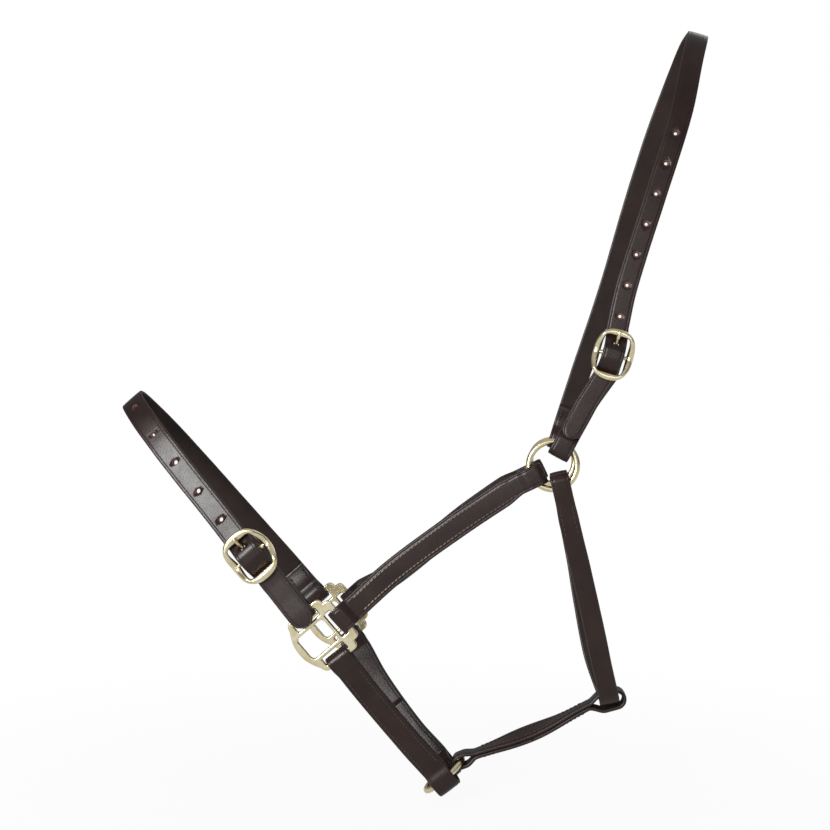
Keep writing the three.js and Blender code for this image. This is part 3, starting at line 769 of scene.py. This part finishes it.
def flat_casting(loops, thick, bevel):
    """The mesh of a plate with an outline and slots, its edges rounded; points in (u, v, n)."""
    curve = bpy.data.curves.new("outline", "CURVE")
    curve.dimensions, curve.fill_mode = "2D", "BOTH"
    curve.extrude, curve.bevel_depth, curve.bevel_resolution = thick / 2 - bevel, bevel, 3
    curve.offset = -bevel
    for loop in loops:
        spline = curve.splines.new("POLY")
        spline.points.add(len(loop) - 1)
        for point, (u, v) in zip(spline.points, loop):
            point.co = (u, v, 0, 1)
        spline.use_cyclic_u = True
    shape = bpy.data.objects.new("outline", curve)
    bpy.context.scene.collection.objects.link(shape)
    ready = shape.evaluated_get(bpy.context.evaluated_depsgraph_get())
    mesh = bpy.data.meshes.new_from_object(ready)
    bpy.data.objects.remove(shape)
    return mesh


def closed_shell(points, faces):
    """The same shell with its doubled points merged."""
    work = bmesh.new()
    made = [work.verts.new(p * MM) for p in points]
    for face in faces:
        work.faces.new([made[k] for k in face])
    bmesh.ops.remove_doubles(work, verts=work.verts, dist=0.01 * MM)
    work.verts.index_update()
    shell = ([v.co / MM for v in work.verts], [tuple(v.index for v in f.verts) for f in work.faces])
    work.free()
    return shell


def square(name, side):
    """The flat casting with three slots and a free centre, edges rounded as cast and polished."""
    side_slot = SQUARE_REACH - SQUARE_EDGE / 2
    cheek_slot = CHEEK_REACH - SQUARE_EDGE / 2
    inner = cheek_slot - SQUARE_SLOT
    loops = [
        square_outline(),
        rounded_slot(-side_slot, -side_slot + SQUARE_SLOT, *SLOT_SIDE, SLOT_CORNER),
        rounded_slot(side_slot - SQUARE_SLOT, side_slot, *SLOT_SIDE, SLOT_CORNER),
        rounded_slot(-10.6, 10.6, inner, cheek_slot, SLOT_CORNER),
        rounded_slot(-9.8, 9.8, -16.6, inner - 2.6, CENTRE_CORNER),
    ]
    mesh = flat_casting(loops, SQUARE_THICK, SQUARE_BEVEL)
    centre, out = square_centre(side), NOSE_RUN.cross(NOSE_WIDTH)
    points = [centre + NOSE_RUN * v.co.x + NOSE_WIDTH * v.co.y + out * v.co.z for v in mesh.vertices]
    shell = closed_shell(points, [tuple(p.vertices) for p in mesh.polygons])
    obj = cast(name, [shell], SQUARE_VOXEL, 3)
    finish_piece(obj, "lower_headcollar", name)


def superellipse(angle, a, b, power):
    c, s = math.cos(angle), math.sin(angle)
    scale = (abs(c) ** power + abs(s) ** power) ** (-1 / power)
    return a * c * scale, b * s * scale


def buckle_frame(name, at, shape, body):
    """A dished frame with a nearly rectangular opening, domed sides and a straight centre bar."""
    side = shape.opening / 2
    points, widths, normals, sizes = [], [], [], []
    for i in range(ROUND_STEPS):
        angle = 2 * math.pi * i / ROUND_STEPS
        inner = superellipse(angle, shape.end_opening, side, OPENING_POWER)
        outer = superellipse(angle, shape.half_length, side + shape.side_bar, OUTLINE_POWER)
        e, w = [(a + b) / 2 for a, b in zip(inner, outer)]
        points.append(at.at(e, RISE * smoothstep(abs(e), LIFT_FROM, LIFT_TO), w))
        spread = at.e * (outer[0] - inner[0]) + at.w * (outer[1] - inner[1])
        widths.append(spread.normalized())
        sizes.append(spread.length / 2)
    for i in range(ROUND_STEPS):
        run = points[(i + 1) % ROUND_STEPS] - points[i - 1]
        normals.append(run.cross(widths[i]).normalized())
    turns = [2 * math.pi * k / BUCKLE_SIDES for k in range(BUCKLE_SIDES)]

    def section(i):
        return [(sizes[i] * math.cos(t), FRAME_HEIGHT / 2 * math.sin(t)) for t in turns]
    shell = sweep(points, widths, normals, section, closed=True)
    straight, ends = side - 2, side + shape.side_bar / 2
    bar = tube([at.at(0, 0, w) for w in (-ends, -straight, straight, ends)], [0.8, PIN, PIN, 0.8],
               BAR_SIDES)
    finish_piece(cast(name, [shell, bar], BUCKLE_VOXEL, 4), body, name)


TONGUE_LINE = [(1.4, 2.2), (6, 4.2), (9, 5.8), (11, 7.5), (13, 9.5), (15.2, 10.4), (18.4, 10.5)]


def tongue_line(at, steps=24):
    return catmull([at.at(e, n) for e, n in TONGUE_LINE], steps)


def buckle_tongue(name, at, body):
    """A tongue: a flat eye bent round the centre bar, and a prong that tapers to a rounded tip."""
    prong = tongue_line(at)
    last = len(prong) - 1
    radii = [TONGUE * (1.08 - 0.22 * i / last) for i in range(len(prong))]
    radii[-1], radii[-2] = TONGUE * 0.45, TONGUE * 0.78
    angles = [2 * math.pi * k / EYE_STEPS for k in range(EYE_STEPS)]
    eye = [at.origin + (at.e * math.cos(angle) + at.n * math.sin(angle)) * (PIN + GAP + EYE_THICK / 2)
           for angle in angles]
    outs = [(p - at.origin).normalized() for p in eye]
    w, n = EYE_WIDTH / 2, EYE_THICK / 2
    band = [(w, -n), (w, n), (-w, n), (-w, -n)]
    eye_shell = sweep(eye, [at.w] * EYE_STEPS, outs, lambda i: band, closed=True)
    obj = cast(name, [tube(prong, radii, BAR_SIDES), eye_shell], TONGUE_VOXEL, 2)
    finish_piece(obj, body, name)


def tongue_slot(at):
    """The slot in a chape's fold that the tongue swings in."""
    corners = [(-7, -2.9), (8, -2.9), (8, 2.9), (-7, 2.9)]
    points = [at.at(e, n, w) for n in (-8, 8) for e, w in corners]
    faces = [(0, 1, 2, 3), (7, 6, 5, 4), (0, 4, 5, 1), (1, 5, 6, 2), (2, 6, 7, 3), (3, 7, 4, 0)]
    return points, faces


# ------------ billets and chapes

BUCKLE_STEPS = 20
BUMP_FROM, BUMP_TO = 2.5, 16
TIP_LENGTH = 8.82  # the last stretch of a billet, where its tip is rounded off
TIP_STATIONS = [0.1, 0.2, 0.3, 0.4, 0.5, 0.6, 0.68, 0.76, 0.83, 0.89, 0.93, 0.96, 0.98, 0.992]


def billet_over_buckle(at, entry=0, leaving=0):
    """The billet's path under one end of the frame, over the centre bar and under the other."""
    points = []
    for k in range(2 * BUCKLE_STEPS + 1):
        s = BILLET_REACH * (1 - k / BUCKLE_STEPS)
        rise = BILLET_OVER + (BILLET_UNDER - BILLET_OVER) * smoothstep(abs(s), BUMP_FROM, BUMP_TO)
        drift = entry if s > 0 else leaving
        points.append(at.at(s, rise, drift * (s / BILLET_REACH) ** 2))
    return points


def tip_run(places):
    """The last stretch of a billet, with close stations where its tip is rounded off."""
    end = places[-1]
    run = [p for p in smooth_run(places, 12) if (p - end).length > TIP_LENGTH]
    return [*run, *(run[-1].lerp(end, t) for t in TIP_STATIONS), end]


def even_holes(count, first, pitch):
    return [first + pitch * k for k in range(count)]


def billet(name, before, over, buckle, places, width_dir, width, outward, holes, hole_back):
    points = [*before, *over, *tip_run(places)]
    band = Band(points, always(width_dir), width, outward, tip=True, skived=(True, False))
    obj = band.build(name)
    bar = band.along[len(before)] + BILLET_REACH
    rim = [band.punch(bar - s, HOLE, hole_back) for s in holes]
    carve(obj, rim, RAW)
    # The tongue's hole gets the dark edge finish, not the raw colour of the other holes: painted
    # shade.
    carve(obj, [tube(tongue_line(buckle), TONGUE + TONGUE_ROOM, 20)], EDGE)
    return band, obj


def chape(name, buckle, ring_end, places, width):
    loop = Loop(frame_at(buckle.origin, -buckle.e, buckle.n), PIN, reach=15, sink=CHAPE_SINK)
    face = ring_end.at.n
    points, first, last = doubled_path(loop, ring_end, places, face)
    band = Band(points, between(loop.at, ring_end.at), width, (points[(first + last) // 2], face))
    obj = band.build(name)
    carve(obj, [tongue_slot(buckle)], EDGE)
    return obj


# ------------ headpiece

chape_ring = ring_frame(NEAR_RING, across(61.8), -RING_AXIS)
HEAD_BUCKLE = frame_at(chape_ring.at(74.2, CHAPE_SINK), on_plane(across(74), RING_AXIS), chape_ring.n)
far_head = ring_frame(FAR_RING, across(73), RING_AXIS)
HEAD_ENTRY, HEAD_LEAVING = 2.4, 3


def sew_turned_end(name, band, tail, fold, offset, body):
    """Stitches that hold a turned-back end, seen on it and on the strap's outer face."""
    length, start = band.along[tail - 1], band.along[tail + fold]
    shells = []
    for w in (-offset, offset):
        shells += stitch_row(band, TAIL_INSET, length - FOLD_INSET, w)
        shells += stitch_row(band, start + FOLD_INSET, start + length - TAIL_INSET, w)
    stitches(name, shells, BROWN_THREAD, body)


def headpiece():
    fold = fold_round(far_head, RING_BAR, sag=sag_within(NARROW))[::-1]
    places = [
        far_head.at(FOLD_REACH, PLY), vec(-85, 57.5, -257), vec(-61, 56.5, -184), vec(-42, 54, -117),
        vec(-26, 48, -66), vec(-11, 36, -24), vec(-3, 19, -3), vec(0, 0, LEATHER / 2),
        vec(-2, -19, -3), vec(-8, -36, -24), vec(-17, -48, -64), vec(-36, -54.5, -124),
        vec(-57.2, -58, -192), HEAD_BUCKLE.at(BILLET_REACH, BILLET_UNDER, HEAD_ENTRY),
    ]
    run = smooth_run(places, 54)
    tail = turned_under(run, always(far_head.w), NEAR, TURNED - FOLD_REACH)
    before = [*tail, *fold, *run]
    over_chape = [
        HEAD_BUCKLE.at(-BILLET_REACH, BILLET_UNDER, HEAD_LEAVING), chape_ring.at(34, 3 * PLY + 0.1),
        chape_ring.at(24, 3 * PLY + 0.6), chape_ring.at(17, 3 * PLY + 1.1),
        chape_ring.at(11, 3 * PLY + 1.7), chape_ring.at(5, 3 * PLY + 2.3),
    ]
    over = billet_over_buckle(HEAD_BUCKLE, HEAD_ENTRY, HEAD_LEAVING)
    band, obj = billet("headpiece_strap", before, over, HEAD_BUCKLE, over_chape, far_head.w,
                       NARROW, (vec(0, 0, LEATHER / 2), UP), even_holes(7, 28.2, 23.25), 1.1)
    finish_piece(obj, "headpiece", "headpiece_strap")
    sew_turned_end("headpiece_stitching", band, len(tail), len(fold), 4.9, "headpiece")


def headpiece_chape():
    ring_end = Loop(chape_ring, RING_BAR, sag=sag_within(NARROW) + 3.5)
    places = [chape_ring.at(34, 0), chape_ring.at(24, 0)]
    obj = chape("headpiece_chape", HEAD_BUCKLE, ring_end, places, NARROW)
    finish_piece(obj, "headpiece", "headpiece_chape")


headpiece()
headpiece_chape()
buckle_frame("headpiece_buckle_frame", HEAD_BUCKLE, HEAD_FRAME, "headpiece_buckle")
buckle_tongue("headpiece_buckle_tongue", HEAD_BUCKLE, "headpiece_tongue")
ring("near_cheek_ring", NEAR_RING, RING_AXIS, RING_RADIUS, "near_ring")
ring("far_cheek_ring", FAR_RING, RING_AXIS, RING_RADIUS, "far_ring")


# ------------ cheeks and squares

def doubled_strap(name, first, second, places, face, size, rows, material, width_at=None):
    """A folded and sewn strap with a row of stitches near each edge, on both of its faces."""
    points, start, end = doubled_path(first, second, places, face)
    middle = (start + end) // 2
    band = Band(points, width_at or between(first.at, second.at), size, (points[middle], face))
    finish_piece(band.build(name), "lower_headcollar", name)
    shells = []
    ends = [(band.along[start] + SEAM_INSET, band.along[end] - SEAM_INSET)]
    behind = []
    for k in (start, middle - 4, middle + 4, end):
        behind.append(band.along[band.station(points[k] - face * 2 * PLY)])
    for a, b in ((behind[0], behind[1]), (behind[3], behind[2])):
        ends.append((a + SEAM_INSET * (1 if b > a else -1), b))
    for offset in rows:
        for a, b in ends:
            shells += stitch_row(band, a, b, offset)
    stitches(name + "_stitching", shells, material, "lower_headcollar")


def cheek(name, side, centre, places):
    at_ring = ring_frame(centre, across(211), RING_AXIS * side, across(206))
    at_square = square_frame(side, 0.2, CHEEK_REACH, across(43))
    near_y, far_y = at_square.origin.y, at_ring.origin.y
    span = at_ring.origin.x - at_square.origin.x
    path = [vec(x, near_y + (far_y - near_y) * (x - at_square.origin.x) / span, z) for x, z in places]
    ring_end = Loop(at_ring, RING_BAR, sag=sag_within(NARROW) + 2)
    doubled_strap(name, ring_end, Loop(at_square, SQUARE_BAR), path, NEAR if side < 0 else FAR,
                  narrowed_at(at_ring.origin, WIDE, NARROW), (-5.9, 5.9), PALE_THREAD)


cheek("near_cheek_strap", -1, NEAR_RING, [(-150, -344.5), (-183, -367), (-228, -401)])
cheek("far_cheek_strap", 1, FAR_RING, [(-143.4, -345.4), (-175, -367.7), (-236, -416.5)])
square("near_square", -1)
square("far_square", 1)


# ------------ noseband

NOSE_REACH, NOSE_BOW = 232, 1.2


def nose_at(run, y, rise=0):
    return (vec(SQUARE.x, y, SQUARE.z) + NOSE_RUN * run
            + NOSE_WIDTH * (rise - 1 + NOSE_BOW * (run / NOSE_REACH) ** 2))


NOSE_BUCKLE = frame_at(nose_at(-80, -SQUARE.y - CHAPE_SINK, 0.9), -NOSE_RUN, NEAR)
near_front = square_frame(-1, -SQUARE_REACH, -1, -NOSE_RUN)
far_front = square_frame(1, -SQUARE_REACH, -1, -NOSE_RUN)


def noseband():
    fold = fold_round(far_front, SQUARE_BAR)[::-1]
    places = [
        far_front.at(FOLD_REACH, PLY), nose_at(-70, 45), nose_at(-118, 39), nose_at(-160, 34),
        nose_at(-194, 27), nose_at(-218, 17), nose_at(-230, 7), nose_at(-NOSE_REACH, 0),
        nose_at(-230, -7), nose_at(-218, -17), nose_at(-194, -27), nose_at(-160, -35),
        nose_at(-122, -44, 0.6), NOSE_BUCKLE.at(BILLET_REACH, BILLET_UNDER),
    ]
    run = smooth_run(places, 54)
    tail = turned_under(run, always(NOSE_WIDTH), NEAR, TURNED - FOLD_REACH)
    before = [*tail, *fold, *run]
    over_chape = [
        NOSE_BUCKLE.at(-BILLET_REACH, BILLET_UNDER), near_front.at(32, 3 * PLY + 0.2, -0.8),
        near_front.at(24, 3 * PLY + 0.8, -0.6), near_front.at(17, 3 * PLY + 1.4, -0.4),
        near_front.at(10, 3 * PLY + 2.1, -0.2), near_front.at(2, 3 * PLY + 2.9),
        near_front.at(-9, 3 * PLY + 3.6),
    ]
    over, outward = billet_over_buckle(NOSE_BUCKLE), (nose_at(-NOSE_REACH, 0), -NOSE_RUN)
    band, obj = billet("noseband_strap", before, over, NOSE_BUCKLE, over_chape,
                       NOSE_WIDTH, WIDE, outward, even_holes(5, 35.7, 28.6), HOLE - 0.3)
    finish_piece(obj, "lower_headcollar", "noseband_strap")
    sew_turned_end("noseband_stitching", band, len(tail), len(fold), 6.2, "lower_headcollar")


def noseband_chape():
    places = [near_front.at(34, 0), near_front.at(24, 0)]
    obj = chape("noseband_chape", NOSE_BUCKLE, Loop(near_front, SQUARE_BAR), places, WIDE)
    finish_piece(obj, "lower_headcollar", "noseband_chape")


noseband()
noseband_chape()
buckle_frame("noseband_buckle_frame", NOSE_BUCKLE, NOSE_FRAME, "noseband_buckle")
buckle_tongue("noseband_buckle_tongue", NOSE_BUCKLE, "noseband_tongue")


# ------------ rear nosebands, chin ring

def rear_noseband(name, side, belly):
    face = NEAR if side < 0 else FAR
    chin_bar = CHIN_RING + FAR * side * CHIN_RADIUS
    square_end = square_centre(side) + NOSE_RUN * SQUARE_REACH - NOSE_WIDTH
    rise = square_end - chin_bar
    chin, at_square = frame_at(chin_bar, rise, face), frame_at(square_end, -rise, face)
    places = [at_square.at(40, 1.5) - NOSE_WIDTH * belly, chin.at(40, 1.5) - NOSE_WIDTH * belly]
    doubled_strap(name, Loop(at_square, SQUARE_BAR),
                  Loop(chin, RING_BAR + 0.5, bow=sag_within(WIDE, CHIN_RADIUS), sag=2.5),
                  places, face, WIDE, (-6.4, 6.4), BROWN_THREAD)


rear_noseband("near_rear_noseband", -1, 0.5)
rear_noseband("far_rear_noseband", 1, 3.5)
ring("chin_ring", CHIN_RING, across(CHIN_RING_TILT - 90), CHIN_RADIUS, "chin_ring")


# ------------ throat and jowl straps

def throat():
    near = ring_frame(NEAR_RING, across(-68.5), -RING_AXIS, across(-77), 8)
    far = ring_frame(FAR_RING, across(-68.5), RING_AXIS, across(-77), 8)
    sag = sag_within(THROAT_WIDTH)
    places = [
        near.at(FOLD_REACH, PLY), vec(-97, -54, -364), vec(-88, -45, -400), vec(-79, -33, -438),
        vec(-71, -20, -474), vec(-65, -13, -500), vec(-64, -7.5, -505.3), vec(-64, 0, -506.4),
        vec(-64, 7.5, -505.3), vec(-66, 13, -500), vec(-75, 20, -474), vec(-82, 33, -438),
        vec(-88, 45, -400), vec(-95, 54, -364), far.at(FOLD_REACH, PLY),
    ]
    run = smooth_run(places, 44)
    width_at = between(near, far)
    near_tail = turned_under(run, width_at, FAR, THROAT_TURNED - FOLD_REACH)
    far_tail = turned_under(run[::-1], width_at, NEAR, THROAT_TURNED - FOLD_REACH)[::-1]
    near_fold = fold_round(near, RING_BAR, sag=sag + 3, bow=0.6)[::-1]
    far_fold = fold_round(far, RING_BAR, sag=sag + 1, bow=0.6)
    points = [*near_tail, *near_fold, *run, *far_fold, *far_tail]
    near_width = narrowed_at(near.origin, THROAT_WIDTH, THROAT_WAIST)
    far_width = narrowed_at(far.origin, THROAT_WIDTH, THROAT_WAIST)
    band = Band(points, width_at, lambda p: min(near_width(p), far_width(p)),
                (vec(-64, 0, -506.4), -UP), skived=(True, True))
    finish_piece(band.build("throat_strap"), "lower_headcollar", "throat_strap")
    whole, near_end = band.along[-1], band.along[len(near_tail) - 1]
    near_start = band.along[len(near_tail) + len(near_fold)]
    far_start = band.along[-len(far_tail)]
    far_stop, far_tail_length = band.along[-len(far_tail) - len(far_fold) - 1], whole - far_start
    shells = []
    for w in (-4.6, 4.6):
        shells += stitch_row(band, TAIL_INSET, near_end - FOLD_INSET, w)
        shells += stitch_row(band, near_start + FOLD_INSET, near_start + near_end - TAIL_INSET, w)
        shells += stitch_row(band, far_start + FOLD_INSET, whole - TAIL_INSET, w)
        shells += stitch_row(band, far_stop - far_tail_length + TAIL_INSET, far_stop - FOLD_INSET, w)
    stitches("throat_stitching", shells, BROWN_THREAD, "lower_headcollar")


def jowl():
    chin = frame_at(CHIN_RING + across(CHIN_RING_TILT) * CHIN_RADIUS, across(22), UP)
    eye = frame_at(vec(-64, 0, -504.4), across(196), UP)
    doubled_strap("jowl_strap",
                  Loop(chin, RING_BAR, sag=sag_within(JOWL_WIDTH, CHIN_RADIUS), bow=1),
                  Loop(eye, 4.8, sag=5.2, reach=17),
                  [vec(-140, 0, -537.5), vec(-108, 0, -524)], vec(-0.37, 0, 0.93), JOWL_WIDTH,
                  (-5.2, 5.2), BROWN_THREAD,
                  rolled(between(chin, eye), chin.at(10, 0), across(22), 88, JOWL_LEAN))


throat()
jowl()


# ------------ studio

FLOOR_RADIUS, FLOOR_SIDES, FLOOR_DROP = 12.0, 96, 0.006
SOFTBOXES = [  # name, place from the middle of the object, width, height, watts
    ("key", (-1.0, -1.75, 0.38), 0.6, 0.6, 30),
    ("front", (0.10, -1.7, 0.30), 0.8, 0.4, 2.2),
    ("rim", (0.9, 1.2, 1.1), 1.0, 1.0, 3.5),
]
BELOW, LEVEL, ABOVE = (0.22, 0.215, 0.21), (0.10, 0.10, 0.105), (0.5, 0.5, 0.52)
AZIMUTH, ELEVATION, DISTANCE = math.radians(3), math.radians(2), 1.232
TARGET = (-0.213707, 0, -0.285494)
LENS, SENSOR = 69.4, 36
middle = (cad_box[0] + cad_box[1]) / 2


def camera_rays(tree):
    return tree.nodes.new("ShaderNodeLightPath").outputs["Is Camera Ray"]


def pale_floor():
    """A pale sheet that fades into the same white as the air around it."""
    angles = [2 * math.pi * k / FLOOR_SIDES for k in range(FLOOR_SIDES)]
    rim = [(FLOOR_RADIUS * math.cos(a), FLOOR_RADIUS * math.sin(a), 0) for a in angles]
    mesh = bpy.data.meshes.new("floor")
    mesh.from_pydata(rim, [], [tuple(range(FLOOR_SIDES))])
    floor = bpy.data.objects.new("floor", mesh)
    floor.location = (middle.x, middle.y, cad_box[0].z - FLOOR_DROP)
    bpy.context.scene.collection.objects.link(floor)
    material, tree, shader, coords = node_material("floor_paper")
    shader.inputs["Base Color"].default_value = (0.92, 0.92, 0.92, 1)
    shader.inputs["Roughness"].default_value = 0.9
    glow = tree.nodes.new("ShaderNodeEmission")
    tree.links.new(add_range(tree, camera_rays(tree), 0.6, 1.0), glow.inputs["Strength"])
    distance = tree.nodes.new("ShaderNodeVectorMath")
    distance.operation = "LENGTH"
    tree.links.new(coords, distance.inputs[0])
    fade = add_range(tree, distance.outputs["Value"], 0.92, 1.0, start=0.05, end=0.7, smooth=True)
    mix = add_shader_mix(tree, fade, shader.outputs["BSDF"], glow.outputs["Emission"])
    tree.links.new(mix, tree.nodes["Material Output"].inputs["Surface"])
    mesh.materials.append(material)


def turned_object(name, data, place, facing):
    """A light or a camera that looks along a direction."""
    obj = bpy.data.objects.new(name, data)
    obj.location = place
    obj.rotation_mode = "QUATERNION"
    obj.rotation_quaternion = facing.to_track_quat("-Z", "Y")
    bpy.context.scene.collection.objects.link(obj)
    return obj


def softbox(name, offset, width, height, power):
    light = bpy.data.lights.new(name, "AREA")
    light.shape, light.size, light.size_y, light.energy = "RECTANGLE", width, height, power
    place = middle + vec(*offset)
    turned_object(name, light, place, middle - place)


def studio():
    """A white surround as the camera sees it, softer and greyer as the pieces see it."""
    world = bpy.data.worlds.new("studio")
    world.use_nodes = True
    bpy.context.scene.world = world
    tree = world.node_tree
    room = tree.nodes["Background"]
    direction = tree.nodes.new("ShaderNodeTexCoord").outputs["Generated"]
    height = add_range(tree, add_axis(tree, direction, "Z"), 0, 1, start=-1)
    shade = add_ramp(tree, height, [(0.0, BELOW), (0.5, LEVEL), (1.0, ABOVE)])
    tree.links.new(shade, room.inputs["Color"])
    seen = tree.nodes.new("ShaderNodeBackground")
    seen.inputs["Color"].default_value = (1, 1, 1, 1)
    surround = add_shader_mix(tree, camera_rays(tree), room.outputs["Background"],
                              seen.outputs["Background"])
    tree.links.new(surround, tree.nodes["World Output"].inputs["Surface"])
    for box in SOFTBOXES:
        softbox(*box)


def camera():
    data = bpy.data.cameras.new("camera")
    data.lens, data.sensor_width = LENS, SENSOR
    data.clip_start, data.clip_end = 0.05, 60
    level = math.cos(ELEVATION)
    back = vec(math.sin(AZIMUTH) * level, -math.cos(AZIMUTH) * level, math.sin(ELEVATION))
    place = vec(*TARGET) + back * DISTANCE
    bpy.context.scene.camera = turned_object("camera", data, place, -back)


pale_floor()
studio()
camera()
bpy.context.scene.view_settings.view_transform = "Standard"
